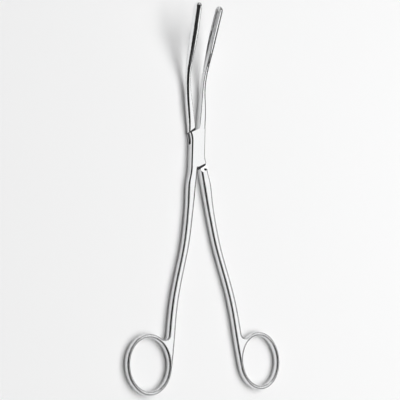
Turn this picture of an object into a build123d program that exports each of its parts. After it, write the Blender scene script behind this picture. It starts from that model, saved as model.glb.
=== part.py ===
from build123d import *
import math
import os

# Box-lock polyp forceps, 241 mm long, in millimetres.
# The pivot axis is the Z axis and z = 0 is the flat back of the box lock.
# +Y runs from the finger rings to the jaw tips.
# Both halves are drawn closed, then each is swung open about the pivot.

# Opening
REST_OPENING = 8.8            # degrees between the halves as they lie
FULL_OPENING = 24.0           # degrees between the halves when the lock stops them

# Box lock
BOX_THICK = 6.0               # front to back
BOX_HALF_WIDTH = 5.0
BOX_STRAIGHT = 3.5            # the sides run straight this far past the pivot
MOUTH_CORNER = (6.2, 8.9)     # where a slanted mouth meets the flared side
CROTCH = (0.2, 12.9)          # where a slanted mouth meets the jaw or the shank

# Tongue, slot and pin
TONGUE_LEAN = 11.5            # degrees from the centre line, closed
TONGUE_HALF_WIDTH = 2.75
TONGUE_THICK = 2.4
SLOT_FACE_CLEARANCE = 0.05    # on each flat of the tongue
SLOT_SIDE_CLEARANCE = 0.15    # on each edge of the tongue
JAW_SHOULDER_GAP = 0.6        # mouth to the neck of the other half, closed
SHANK_SHOULDER_GAP = 0.6      # mouth to the shank of the other half, closed
SHANK_SHOULDER_STEP = 0.45    # the shank starts this far above and below the tongue
SHANK_SLOPE = 2.6             # and reaches its full thickness over this length
TONGUE_ROOT = 0.4             # the tongue runs this far into each shoulder
PIN_RADIUS = 1.5
PIN_CLEARANCE = 0.04
PIN_HEAD_RADIUS = 2.0         # the riveted ends are flared and ground flush
PIN_HEAD_DEPTH = 0.6

# Jaw sections of the closed forceps, square to the centre line of the jaw:
# (place, gripping side, back, depth, round of the gripping edges, round of the back across, in depth)
# The gripping face is flat between the last two, and the round end is turned about the last.
JAW_SECTIONS = [
    (31, 1.1, 4.7, 4.6, 0.35, 1.35, 1.35),
    (41, 1.35, 4.15, 3.95, 0.35, 1.5, 1.5),
    (49, 1.35, 4.05, 4.1, 0.35, 1.65, 1.8),
    (57, 1.1, 4.05, 5.4, 0.35, 1.95, 2.4),
    (65, 0.6, 4.0, 6.6, 0.35, 2.3, 3.0),
    (71, 0.25, 3.9, 6.95, 0.35, 2.45, 3.2),
    (77, 0.08, 3.75, 7.0, 0.35, 2.55, 3.25),
    (86.3, 0.08, 3.5, 7.0, 0.35, 2.5, 3.25),
]
BOX_HALF_NECK = [(21, 0.65, 5.05, 5.4, 0.35, 1.2, 1.2)]
TONGUE_HALF_NECK = [
    (8.9, 0.2, 4.95, 3.1, 0.35, 0.9, 0.9),
    (14, 0.3, 4.75, 3.9, 0.35, 1.0, 1.0),
    (21, 0.65, 4.75, 4.8, 0.35, 1.2, 1.2),
]
CROTCH_ROUND = 0.05           # the gripping edges start this sharp at the crotch

# Centre line of the jaw seen from the side: it rises, then bends forward
NECK_RISE = 3.45              # degrees
JAW_BEND = 27.0               # degrees
BEND_Y = 46.6
BEND_RADIUS = 52.0

# Hollow of the spoon
RIM = 0.85
HOLLOW_DEPTH = 1.75
HOLLOW_START_Y = 50.5         # centre of its round end
HOLLOW_CORNER = 1.3

# Shank: centre line and half width of the closed forceps
SHANK_LINE = [(3.65, -24), (4.07, -34.3), (4.66, -44.7), (5.54, -55), (6.85, -65.4), (8.82, -75.8),
              (10.87, -86.1), (12.61, -96.5), (13.72, -106.9), (14.32, -117.3)]
SHANK_HALF_WIDTHS = [(-117.3, 2.25), (-105, 2.2), (-75, 2.05), (-45, 2.25), (-24, 2.75)]
SHANK_THICK = 5.2
SHANK_TAPER_END_Y = -42.0     # the shank is as thick as the box at its root and thins to here
CROTCH_HEADING = (0.03, -1)   # the inner edge of the shank leaves the crotch this way
NOTCH_HEADING = (-0.12, 1)    # and its outer edge leaves the notch at the ring this way

# Finger ring
RING_CENTRE = (28.3, -136.95)
RING_INNER = (12.65, 15.45)   # half width and half length of the opening
RING_BAND = (2.1, 2.4)        # width of the band at the sides and at the ends
RING_TILT = -REST_OPENING / 2 # the rings stand straight as the forceps lies open
RING_MEETS_SHANK = 12.0       # degrees below the ring's inner side where the shank's inner edge runs in
RING_NOTCH = 35.0             # degrees above it where the shank's outer edge meets the ring

# Edges
EDGE_RADIUS = 1.02
NOTCH_RADIUS = 3.0            # between the shank and the ring

# Matching dot beside the lock
DOT_PLACE = (3.15, -14.2)
DOT_RADIUS = 0.85
DOT_DEPTH = 0.4

MID = BOX_THICK / 2
ROOT_Y = CROTCH[1]            # jaw and shank begin here
RING_OUTER = (RING_INNER[0] + RING_BAND[0], RING_INNER[1] + RING_BAND[1])
INNER_SIDE = 180              # degrees round the ring to the side that faces the other ring
SPARE = 6.0                   # cutting and joining shapes run this far past what they meet
PAST_TIP = JAW_SECTIONS[-1][0] + 2 * SPARE
PAST_RINGS = RING_CENTRE[0] + RING_OUTER[1] + SPARE
BELOW_RINGS = RING_CENTRE[1] - RING_OUTER[1] - SPARE
TINY = 0.001
NEAR = 0.5                    # an edge whose middle is this close to a place is the one meant


def beside_line(across, along, tilt):
    """A point beside a line through the pivot that leans tilt degrees from +Y."""
    lean = math.radians(tilt)
    x = across * math.cos(lean) - along * math.sin(lean)
    y = across * math.sin(lean) + along * math.cos(lean)
    return (x, y)


def size_at(y, stations):
    """A size at y, straight between the stated (y, size) pairs."""
    for (low_y, low), (high_y, high) in zip(stations, stations[1:]):
        if low_y <= y <= high_y:
            return low + (high - low) * (y - low_y) / (high_y - low_y)
    return stations[-1][1]


def swung(shape, degrees):
    """A half swung about the pivot."""
    return Rot(0, 0, degrees) * shape


# Ring and shank in plan, on the +X side of the closed forceps

def ring_point(below):
    """A point on the outer edge of the ring, in degrees below its inner side, and the direction there."""
    t = math.radians(INNER_SIDE + below)
    local = Vector(RING_OUTER[0] * math.cos(t), RING_OUTER[1] * math.sin(t))
    heading = Vector(-RING_OUTER[0] * math.sin(t), RING_OUTER[1] * math.cos(t))
    place = Vector(*RING_CENTRE) + local.rotate(Axis.Z, RING_TILT)
    return place, heading.rotate(Axis.Z, RING_TILT).normalized()


def shank_edge(side):
    """Points along one edge of the shank: side -1 is the inner edge, 1 the outer."""
    points = []
    for before, here, after in zip(SHANK_LINE[:1] + SHANK_LINE, SHANK_LINE, SHANK_LINE[1:] + SHANK_LINE[-1:]):
        run = Vector(after[0] - before[0], after[1] - before[1]).normalized()
        reach = side * size_at(here[1], SHANK_HALF_WIDTHS)
        points.append((here[0] - reach * run.Y, here[1] + reach * run.X))
    return points


def ring_plane():
    leaning = Vector(1, 0).rotate(Axis.Z, RING_TILT)
    return Plane(origin=RING_CENTRE, x_dir=leaning, z_dir=(0, 0, 1))


def handle_edges():
    """The outline of shank and ring, from the crotch round to the side of the box."""
    meeting, down = ring_point(RING_MEETS_SHANK)
    notch, _ = ring_point(-RING_NOTCH)
    crotch = (CROTCH[0], -CROTCH[1])
    root = (BOX_HALF_WIDTH, -ROOT_Y)
    inner = Spline(crotch, *shank_edge(-1), meeting, tangents=[CROTCH_HEADING, down])
    band = Edge.make_ellipse(*RING_OUTER, ring_plane(), INNER_SIDE + RING_MEETS_SHANK,
                             360 + INNER_SIDE - RING_NOTCH)
    outer = Spline(notch, *reversed(shank_edge(1)), root, tangents=[NOTCH_HEADING, (0, 1)])
    return [inner, band, outer]


# Box, shank and ring of one half: the shank and the ring are on the -X side

def mirror_edges(edges):
    return [edge.mirror(Plane.YZ) for edge in edges]


def plan_face():
    """The half seen from the front, up to the root of its jaw."""
    side = BOX_HALF_WIDTH
    corner = MOUTH_CORNER
    edges = [
        Line(CROTCH, (side, ROOT_Y)),
        Line((side, ROOT_Y), (side, -BOX_STRAIGHT)),
        TangentArc((side, -BOX_STRAIGHT), (corner[0], -corner[1]), tangent=(0, -1)),
        Line((corner[0], -corner[1]), (-CROTCH[0], -CROTCH[1])),
        *mirror_edges(handle_edges()),
        Line((-side, -ROOT_Y), (-side, BOX_STRAIGHT)),
        TangentArc((-side, BOX_STRAIGHT), (-corner[0], corner[1]), tangent=(0, 1)),
        Line((-corner[0], corner[1]), CROTCH),
    ]
    opening = mirror_edges([Edge.make_ellipse(*RING_INNER, ring_plane())])
    return Face(Wire(edges), [Wire(opening)])


def side_face():
    """The same seen from the side, drawn as (y, z)."""
    back = MID - SHANK_THICK / 2
    front = MID + SHANK_THICK / 2
    level = Vector(1, 0)
    return make_face([
        Line((BELOW_RINGS, back), (SHANK_TAPER_END_Y, back)),
        Spline((SHANK_TAPER_END_Y, back), (-ROOT_Y, 0), tangents=[level, level]),
        Line((-ROOT_Y, 0), (ROOT_Y, 0)),
        Line((ROOT_Y, 0), (ROOT_Y, BOX_THICK)),
        Line((ROOT_Y, BOX_THICK), (-ROOT_Y, BOX_THICK)),
        Spline((-ROOT_Y, BOX_THICK), (SHANK_TAPER_END_Y, front), tangents=[-level, -level]),
        Line((SHANK_TAPER_END_Y, front), (BELOW_RINGS, front)),
        Line((BELOW_RINGS, front), (BELOW_RINGS, back)),
    ])


def from_side(face, low_x, high_x):
    """A side view face, drawn as (y, z), carried from low_x to high_x."""
    standing = Plane(origin=(low_x, 0, 0), x_dir=(0, 1, 0), z_dir=(1, 0, 0))
    return extrude(standing * face, high_x - low_x, dir=(1, 0, 0))


def is_across(edge):
    """True for the short edges that stand in Z or cross the half in X."""
    size = edge.bounding_box().size
    stands = max(size.X, size.Y) < TINY
    crosses = max(size.Y, size.Z) < TINY
    return stands or crosses


def is_mouth(edge):
    """True for the slanted edges at the two mouths of the box."""
    middle = edge.center()
    upper = Vector(CROTCH[0] - MOUTH_CORNER[0], CROTCH[1] + MOUTH_CORNER[1]) / 2
    plan = Vector(middle.X, middle.Y)
    return min((plan - upper).length, (plan + upper).length) < NEAR


def stretch(shape, low_y, high_y):
    """The part of a shape between two planes across the forceps."""
    middle = (low_y + high_y) / 2
    return shape & Pos(0, middle, 0) * Box(2 * PAST_RINGS, high_y - low_y, 2 * PAST_TIP)


def rounded(shape, cut_y):
    """Round all the long edges but those of the mouths."""
    edges = [edge for edge in shape.edges()
             if not (is_across(edge) or is_mouth(edge) or abs(edge.center().Y - cut_y) < TINY)]
    return fillet(edges, EDGE_RADIUS)


def box_and_handle():
    """The rounded blank of box, shank and ring that both halves are cut from."""
    front_view = extrude(plan_face(), BOX_THICK, dir=(0, 0, 1))
    blank = front_view & from_side(side_face(), -PAST_RINGS, PAST_RINGS)
    notch, _ = ring_point(-RING_NOTCH)
    standing = blank.edges().filter_by(Axis.Z)
    notch_edge = standing.sort_by_distance(Vector(-notch.X, notch.Y, MID))[0]
    blank = fillet(notch_edge, NOTCH_RADIUS)
    cut_y = SHANK_TAPER_END_Y
    upper = rounded(stretch(blank, cut_y, PAST_TIP), cut_y)
    lower = rounded(stretch(blank, -2 * PAST_TIP, cut_y), cut_y)
    return upper + lower


# Jaw, on the +X side of the closed forceps

def jaw_path():
    """Where the bend of the centre line starts, and its slopes before and after."""
    rise = math.radians(NECK_RISE)
    bend = math.radians(JAW_BEND)
    corner = Vector(BEND_Y, MID + (BEND_Y - ROOT_Y) * math.tan(rise))
    tangent_length = BEND_RADIUS * math.tan((bend - rise) / 2)
    bend_start = corner - Vector(math.cos(rise), math.sin(rise)) * tangent_length
    return bend_start, rise, bend


def on_jaw_path(y):
    """The height of the centre line at y, and its slope."""
    start, rise, bend = jaw_path()
    centre = start + Vector(-math.sin(rise), math.cos(rise)) * BEND_RADIUS
    end = centre + Vector(math.sin(bend), -math.cos(bend)) * BEND_RADIUS
    if y <= ROOT_Y:
        return MID, 0
    if y < start.X:
        return MID + (y - ROOT_Y) * math.tan(rise), rise
    if y < end.X:
        slope = math.asin((y - centre.X) / BEND_RADIUS)
        return centre.Y - BEND_RADIUS * math.cos(slope), slope
    return end.Y + (y - end.X) * math.tan(bend), bend


def square_to_path(y):
    """The plane across the jaw at y: its X is the forceps' X and its Y points to the front of the jaw."""
    height, slope = on_jaw_path(y)
    return Plane(origin=(0, y, height), x_dir=(1, 0, 0), z_dir=(0, -math.cos(slope), -math.sin(slope)))


def jaw_section(place, grip, back, depth, grip_round, across, in_depth):
    """One section of the jaw: flat gripping side, elliptical corners on its back."""
    half = depth / 2
    edges = [
        Line((grip, grip_round - half), (grip, half - grip_round)),
        CenterArc((grip + grip_round, half - grip_round), grip_round, 180, -90),
        Line((grip + grip_round, half), (back - across, half)),
        EllipticalCenterArc((back - across, half - in_depth), across, in_depth, 90, arc_size=-90),
        Line((back, half - in_depth), (back, in_depth - half)),
        EllipticalCenterArc((back - across, in_depth - half), across, in_depth, 0, arc_size=-90),
        Line((back - across, -half), (grip + grip_round, -half)),
        CenterArc((grip + grip_round, grip_round - half), grip_round, 270, -90),
    ]
    return square_to_path(place) * Face(Wire(edges))


def jaw(neck):
    """Neck, bend and spoon with its round end."""
    faces = [jaw_section(*section) for section in neck + JAW_SECTIONS]
    end = square_to_path(JAW_SECTIONS[-1][0])
    front_half = split(faces[-1], Plane(end.origin, z_dir=end.y_dir), keep=Keep.TOP)
    round_end = revolve(front_half, Axis(end.origin, (-1, 0, 0)), 180)
    return loft(faces[:-1]) + loft(faces[-2:], ruled=True) + round_end - hollow()


def hollow_edge(side, stations):
    """Points along the rim of the hollow: side 1 is its front edge, -1 its back edge."""
    points = []
    for place, half in stations:
        across = square_to_path(place)
        point = across.origin + across.y_dir * side * (half - RIM)
        points.append((point.Y, point.Z))
    return points


def hollow():
    """What is cut out of the spoon."""
    halves = [(place, depth / 2) for place, _, _, depth, *_ in JAW_SECTIONS]
    before = max(pair for pair in halves if pair[0] < HOLLOW_START_Y)
    widening = [pair for pair in halves[:-1] if pair[0] > HOLLOW_START_Y + 2 * RIM]
    share = (HOLLOW_START_Y - before[0]) / (widening[0][0] - before[0])
    start_half = before[1] + share * (widening[0][1] - before[1])
    stations = [(HOLLOW_START_Y, start_half)] + widening
    start = square_to_path(HOLLOW_START_Y)
    end = square_to_path(halves[-1][0])
    setting_out = Vector(-start.z_dir.Y, -start.z_dir.Z)
    ahead = Vector(-end.z_dir.Y, -end.z_dir.Z)
    front = hollow_edge(1, stations)
    back = hollow_edge(-1, stations)
    front_end, back_end = hollow_edge(1, halves[-1:]) + hollow_edge(-1, halves[-1:])
    low = Vector(start.origin.Y, start.origin.Z) - setting_out * (start_half - RIM)
    far = Vector(end.origin.Y, end.origin.Z) + ahead * (halves[-1][1] - RIM)
    face = make_face([
        ThreePointArc(front[0], low, back[0]),
        Spline(*back, tangents=[setting_out, ahead]),
        Line(back[-1], back_end),
        ThreePointArc(back_end, far, front_end),
        Line(front_end, front[-1]),
        Spline(*reversed(front), tangents=[-ahead, -setting_out]),
    ])
    pocket = from_side(face, -SPARE, HOLLOW_DEPTH)
    return fillet(pocket.edges().group_by(Axis.X)[-1], HOLLOW_CORNER)


# The lock: a slotted box, a tongue that passes through it, and the pin

MOUTH_LEAN = math.degrees(math.atan2(CROTCH[1] - MOUTH_CORNER[1], CROTCH[0] + MOUTH_CORNER[0]))
MOUTH_REACH = Vector(*CROTCH).rotate(Axis.Z, -MOUTH_LEAN).Y    # pivot to the line of each mouth


def slot():
    """What the tongue sweeps through the box from closed to fully open."""
    reach = TONGUE_HALF_WIDTH + SLOT_SIDE_CLEARANCE
    open_lean = TONGUE_LEAN + FULL_OPENING
    corner = reach * math.tan(math.radians(FULL_OPENING / 2))
    far = 2 * ROOT_Y
    outline = Polyline(
        beside_line(reach, far, TONGUE_LEAN),
        beside_line(reach, corner, TONGUE_LEAN),
        beside_line(reach, -far, open_lean),
        beside_line(-reach, -far, TONGUE_LEAN),
        beside_line(-reach, -corner, TONGUE_LEAN),
        beside_line(-reach, far, open_lean),
        close=True,
    )
    height = TONGUE_THICK + 2 * SLOT_FACE_CLEARANCE
    return Pos(0, 0, MID) * extrude(make_face(outline), height / 2, both=True)


def tongue_end(across, reach):
    """Where an edge of the tongue crosses a line that runs parallel to the mouths."""
    lean = math.radians(TONGUE_LEAN - MOUTH_LEAN)
    along = (reach - across * math.sin(lean)) / math.cos(lean)
    return beside_line(across, along, TONGUE_LEAN)


def tongue():
    """The thin web between the two shoulders."""
    upper = MOUTH_REACH + JAW_SHOULDER_GAP + TONGUE_ROOT
    lower = -(MOUTH_REACH + SHANK_SHOULDER_GAP + TONGUE_ROOT)
    half = TONGUE_HALF_WIDTH
    outline = Polyline(
        tongue_end(-half, upper),
        tongue_end(half, upper),
        tongue_end(half, lower),
        tongue_end(-half, lower),
        close=True,
    )
    return Pos(0, 0, MID) * extrude(make_face(outline), TONGUE_THICK / 2, both=True)


def between_shoulders():
    """What is cut from the blank between the shoulders, with the slopes where the shank begins."""
    upper = MOUTH_REACH + JAW_SHOULDER_GAP
    lower = -(MOUTH_REACH + SHANK_SHOULDER_GAP)
    step = TONGUE_THICK / 2 + SHANK_SHOULDER_STEP
    rise = (MID + SPARE - step) / (MID - step)
    far_y = lower - rise * SHANK_SLOPE
    far_z = MID + SPARE
    outline = Polyline(
        (upper, -far_z),
        (upper, far_z),
        (far_y, far_z),
        (lower, step),
        (lower, -step),
        (far_y, -far_z),
        close=True,
    )
    strip = from_side(make_face(outline), -2 * PAST_RINGS, 2 * PAST_RINGS)
    return Pos(0, 0, MID) * Rot(0, 0, MOUTH_LEAN) * strip


def pivot_pin():
    """A straight pin with both ends flared into the cheeks and ground flush."""
    radius = PIN_RADIUS
    head = PIN_HEAD_RADIUS
    profile = Polyline(
        (0, 0),
        (head, 0),
        (radius, PIN_HEAD_DEPTH),
        (radius, BOX_THICK - PIN_HEAD_DEPTH),
        (head, BOX_THICK),
        (0, BOX_THICK),
        close=True,
    )
    return revolve(make_face(Plane.XZ * profile), Axis.Z)


def matching_dot():
    """A round punch mark on the face beside the lock."""
    ball = (DOT_RADIUS ** 2 + DOT_DEPTH ** 2) / (2 * DOT_DEPTH)
    return Pos(*DOT_PLACE, BOX_THICK - DOT_DEPTH + ball) * Sphere(ball)


def box_half(blank, pin):
    """Jaw on the right, slotted box, and shank and ring on the left."""
    root = (ROOT_Y, CROTCH[0], BOX_HALF_WIDTH, BOX_THICK, CROTCH_ROUND, EDGE_RADIUS, EDGE_RADIUS)
    return blank + jaw([root] + BOX_HALF_NECK) - slot() - pin


def tongue_half(blank):
    """Jaw on the left, tongue, and shank and ring on the right."""
    handle = stretch(blank, -2 * PAST_TIP, 0)
    body = (handle + jaw(TONGUE_HALF_NECK)).mirror(Plane.YZ) - between_shoulders() + tongue()
    bore = Pos(0, 0, MID) * Cylinder(PIN_RADIUS + PIN_CLEARANCE, BOX_THICK)
    return body - bore - matching_dot()


BLANK = box_and_handle()
PIN = pivot_pin()
PARTS = {
    "box_half": swung(box_half(BLANK, PIN), -REST_OPENING / 2),
    "tongue_half": swung(tongue_half(BLANK), REST_OPENING / 2),
    "pivot_pin": PIN,
}

os.makedirs("parts", exist_ok=True)
for name, shape in PARTS.items():
    export_step(shape, f"parts/{name}.step")
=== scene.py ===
import bpy
import math
from mathutils import Matrix, Vector

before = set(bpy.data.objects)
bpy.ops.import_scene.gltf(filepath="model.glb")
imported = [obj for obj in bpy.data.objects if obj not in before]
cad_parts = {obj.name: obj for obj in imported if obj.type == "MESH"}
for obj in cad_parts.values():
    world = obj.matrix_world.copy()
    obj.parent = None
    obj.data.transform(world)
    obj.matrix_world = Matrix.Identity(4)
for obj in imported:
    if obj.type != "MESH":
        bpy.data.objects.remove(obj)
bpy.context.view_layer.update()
bpy.ops.object.select_all(action="DESELECT")
scene = bpy.context.scene
scene.view_settings.view_transform = "Standard"

# The camera looks down on the forceps from above the left ring.
# It is turned a little in its own plane.
camera_aim = Vector((0.000964, -0.03341, 0.003))
camera_distance = 0.53906
camera_left = math.radians(30.43)
camera_low = math.radians(11.23)
camera_roll = math.radians(-2.42)
camera_lens = 76.77
camera_sensor = 36
camera_sees_from = 0.01

towards_camera = Vector((
    -math.sin(camera_left) * math.cos(camera_low),
    -math.sin(camera_low),
    math.cos(camera_left) * math.cos(camera_low),
))
camera_up = (Vector((0, 1, 0)) - towards_camera * towards_camera.y).normalized()
camera_right = camera_up.cross(towards_camera)
upright = Matrix((camera_right, camera_up, towards_camera)).transposed()
turned = upright @ Matrix.Rotation(camera_roll, 3, "Z")
camera_place = camera_aim + camera_distance * towards_camera
bpy.ops.object.camera_add(location=camera_place, rotation=turned.to_euler())
camera = bpy.context.object
camera.data.lens = camera_lens
camera.data.sensor_width = camera_sensor
camera.data.clip_start = camera_sees_from
scene.camera = camera

# The table is a matt white top that the forceps lies on.
# It goes on past the edges of the picture and keeps the soft shadow.
table_size = 4
table_white = (0.94, 0.94, 0.94, 1)
table_roughness = 1
table_gloss = 0

bpy.ops.mesh.primitive_plane_add(size=table_size)
table = bpy.context.object
table.name = "table"
matt_white = bpy.data.materials.new("matt_white")
matt_white.use_nodes = True
matt_shader = matt_white.node_tree.nodes["Principled BSDF"]
matt_shader.inputs["Base Color"].default_value = table_white
matt_shader.inputs["Roughness"].default_value = table_roughness
matt_shader.inputs["Specular IOR Level"].default_value = table_gloss
table.data.materials.append(matt_white)

# The studio light is a wide soft box nearly overhead, kept out of the reflections, and two white cards.
# The front faces mirror the first card, and the slope beside the lock mirrors the second.
# The room is dark at the sides of the forceps and grey past its two ends.
room_dark = 0.03
room_end = 0.29
far_end = (0.48, 0.62)
near_end = (-0.55, -0.72)
light_target = Vector((0, -0.03, 0))


def feed(tree, source, socket):
    """Give a socket a constant or what another node puts out."""
    if isinstance(source, bpy.types.NodeSocket):
        tree.links.new(source, socket)
    else:
        socket.default_value = source


def worked_out(tree, operation, *sources):
    """The outcome of a sum with numbers."""
    step = tree.nodes.new("ShaderNodeMath")
    step.operation = operation
    for index, source in enumerate(sources):
        feed(tree, source, step.inputs[index])
    return step.outputs["Value"]


def part_of(tree, vector, letter):
    """One coordinate of a place or a direction."""
    split = tree.nodes.new("ShaderNodeSeparateXYZ")
    tree.links.new(vector, split.inputs["Vector"])
    return split.outputs[letter]


def blend(tree, source, between, low, high):
    """A number that goes from low to high while the source crosses the span."""
    span = tree.nodes.new("ShaderNodeMapRange")
    feed(tree, source, span.inputs["Value"])
    feed(tree, between[0], span.inputs["From Min"])
    feed(tree, between[1], span.inputs["From Max"])
    feed(tree, low, span.inputs["To Min"])
    feed(tree, high, span.inputs["To Max"])
    return span.outputs["Result"]


room = bpy.data.worlds.new("room")
scene.world = room
room.use_nodes = True
tree = room.node_tree
towards = tree.nodes.new("ShaderNodeTexCoord").outputs["Generated"]
lengthwise = part_of(tree, towards, "Y")
past_far_end = blend(tree, lengthwise, far_end, room_dark, room_end)
past_near_end = blend(tree, lengthwise, near_end, 0, room_end - room_dark)
room_grey = worked_out(tree, "ADD", past_far_end, past_near_end)
tree.links.new(room_grey, tree.nodes["Background"].inputs["Color"])


def soft_box(name, place, across, along, watts):
    """A flat lamp that faces the forceps, with its sizes across it and along it."""
    facing = (Vector(place) - light_target).to_track_quat("Z", "Y").to_euler()
    bpy.ops.object.light_add(type="AREA", location=place, rotation=facing)
    lamp = bpy.context.object
    lamp.name = name
    lamp.data.shape = "RECTANGLE"
    lamp.data.size = along
    lamp.data.size_y = across
    lamp.data.energy = watts
    return lamp


overhead = soft_box("overhead_soft_box", place=(0.5, -0.12, 2.0), across=1.45, along=2.6, watts=42.5)
overhead.visible_glossy = False
soft_box("front_face_card", place=(0.47, -0.05, 0.78), across=0.44, along=0.9, watts=1.28)
soft_box("slope_card", place=(0.045, 0.72, 0.53), across=0.26, along=0.26, watts=0.22)

# The box half is one stainless steel forging: right jaw, slotted box, and left shank with its ring.
# It is buffed to a mirror on a wheel, which leaves hairlines and eases the edges, most of all on the shank
# and the ring, and hardly at the lock. The gripping face and the hollow of the jaw are satin.
steel_colour = (0.86, 0.865, 0.87, 1)
steel_roughness = (0.056, 0.104)
satin_roughness = 0.24
towards_other_jaw = (0.25, 0.45)
gripping_face_begins = (0.044, 0.052)
hairline_scale = 3000
hairline_detail = 3
hairline_stretch = (1, 0.06, 1)
shank_face_easing = 0.0014
shank_side_easing = 0.003
jaw_easing = 0.0005
lock_easing = 0.00001
easing_samples = 6
shank_begins = (-0.026, -0.019)
jaw_begins = (0.024, 0.034)
side_to_face = (0.15, 0.7)


def buffed_steel(name, gap_side):
    """Stainless steel buffed to a mirror. The gap beside its jaw is on the side -1 or 1, or 0 for no jaw."""
    material = bpy.data.materials.new(name)
    material.use_nodes = True
    tree = material.node_tree
    shader = tree.nodes["Principled BSDF"]
    shader.inputs["Metallic"].default_value = 1
    shader.inputs["Base Color"].default_value = steel_colour
    place = tree.nodes.new("ShaderNodeTexCoord").outputs["Object"]

    stretch = tree.nodes.new("ShaderNodeMapping")
    stretch.inputs["Scale"].default_value = hairline_stretch
    hairlines = tree.nodes.new("ShaderNodeTexNoise")
    hairlines.inputs["Scale"].default_value = hairline_scale
    hairlines.inputs["Detail"].default_value = hairline_detail
    tree.links.new(place, stretch.inputs["Vector"])
    tree.links.new(stretch.outputs["Vector"], hairlines.inputs["Vector"])
    buffed = blend(tree, hairlines.outputs["Fac"], (0, 1), *steel_roughness)

    along = part_of(tree, place, "Y")
    surface_normal = tree.nodes.new("ShaderNodeNewGeometry").outputs["True Normal"]
    own_frame = tree.nodes.new("ShaderNodeVectorTransform")
    own_frame.vector_type = "NORMAL"
    tree.links.new(surface_normal, own_frame.inputs["Vector"])
    facing = own_frame.outputs["Vector"]
    into_gap = worked_out(tree, "MULTIPLY", part_of(tree, facing, "X"), gap_side)
    beside_gap = blend(tree, into_gap, towards_other_jaw, 0, 1)
    on_gripping_face = blend(tree, along, gripping_face_begins, 0, satin_roughness)
    satin = worked_out(tree, "MULTIPLY", beside_gap, on_gripping_face)
    tree.links.new(worked_out(tree, "ADD", buffed, satin), shader.inputs["Roughness"])

    level = worked_out(tree, "ABSOLUTE", part_of(tree, facing, "Z"))
    on_shank = blend(tree, level, side_to_face, shank_side_easing, shank_face_easing)
    below_jaw = blend(tree, along, shank_begins, on_shank, lock_easing)
    on_jaw = blend(tree, along, jaw_begins, 0, jaw_easing)
    eased = tree.nodes.new("ShaderNodeBevel")
    eased.samples = easing_samples
    tree.links.new(worked_out(tree, "ADD", below_jaw, on_jaw), eased.inputs["Radius"])
    tree.links.new(eased.outputs["Normal"], shader.inputs["Normal"])
    return material


def dress(node_name, material):
    """Put a material into each slot of a solid."""
    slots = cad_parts[node_name].data.materials
    for index in range(len(slots)):
        slots[index] = material


dress("box_half", buffed_steel("box_half_steel", gap_side=-1))

# The tongue half is the other forging: left jaw, thin tongue, and right shank with its ring.
# It is buffed like the box half, but the tongue, which the box hides, is left dull as ground and is painted
# dark as the shade inside the lock.
# The round matching dot is punched into the face below the lock, and its hollow is painted black as shade.
mouth_lean = math.radians(33.69)
rest_swing = math.radians(4.4)
tongue_reach = 0.01146
# Painted shade: the tongue is coloured dark where the box hides it, as the shade inside the lock.
lock_painted_shade = (0.13, 0.13, 0.135, 1)
ground_roughness = 0.4
dot_place = (0.00423, -0.01392, 0.0058)
dot_reach = 0.0009
# Painted shade: the hollow of the punched dot is coloured black.
dot_painted_shade = (0.03, 0.03, 0.03, 1)


def measured(tree, operation, *sources):
    """The number that a sum with places gives."""
    step = tree.nodes.new("ShaderNodeVectorMath")
    step.operation = operation
    for index, source in enumerate(sources):
        feed(tree, source, step.inputs[index])
    return step.outputs["Value"]


def painted(tree, share, under, over):
    """One colour over another where the share is 1."""
    mix = tree.nodes.new("ShaderNodeMix")
    mix.data_type = "RGBA"
    feed(tree, share, mix.inputs["Factor"])
    feed(tree, under, mix.inputs["A"])
    feed(tree, over, mix.inputs["B"])
    return mix.outputs["Result"]


tongue_half_steel = buffed_steel("tongue_half_steel", gap_side=1)
tree = tongue_half_steel.node_tree
shader = tree.nodes["Principled BSDF"]
place = tree.nodes.new("ShaderNodeTexCoord").outputs["Object"]
past_mouths = (-math.sin(mouth_lean + rest_swing), math.cos(mouth_lean + rest_swing), 0)
from_middle = worked_out(tree, "ABSOLUTE", measured(tree, "DOT_PRODUCT", place, past_mouths))
from_dot = measured(tree, "DISTANCE", place, dot_place)
on_tongue = worked_out(tree, "LESS_THAN", from_middle, tongue_reach)
in_dot = worked_out(tree, "LESS_THAN", from_dot, dot_reach)
# Painted shade inside the lock: the tongue's colour is darkened, besides its rougher ground finish.
lock_shade_or_buffed = painted(tree, on_tongue, steel_colour, lock_painted_shade)
# Painted shade in the dot's hollow, over the tongue's colours.
tree.links.new(painted(tree, in_dot, lock_shade_or_buffed, dot_painted_shade), shader.inputs["Base Color"])
buffed_roughness = shader.inputs["Roughness"].links[0].from_socket
roughness = worked_out(tree, "MULTIPLY_ADD", on_tongue, ground_roughness, buffed_roughness)
tree.links.new(roughness, shader.inputs["Roughness"])
dress("tongue_half", tongue_half_steel)

# The pivot pin is a stainless steel rivet through the lock.
# Its flared ends are ground flush with the box and buffed with it.
dress("pivot_pin", buffed_steel("pin_steel", gap_side=0))
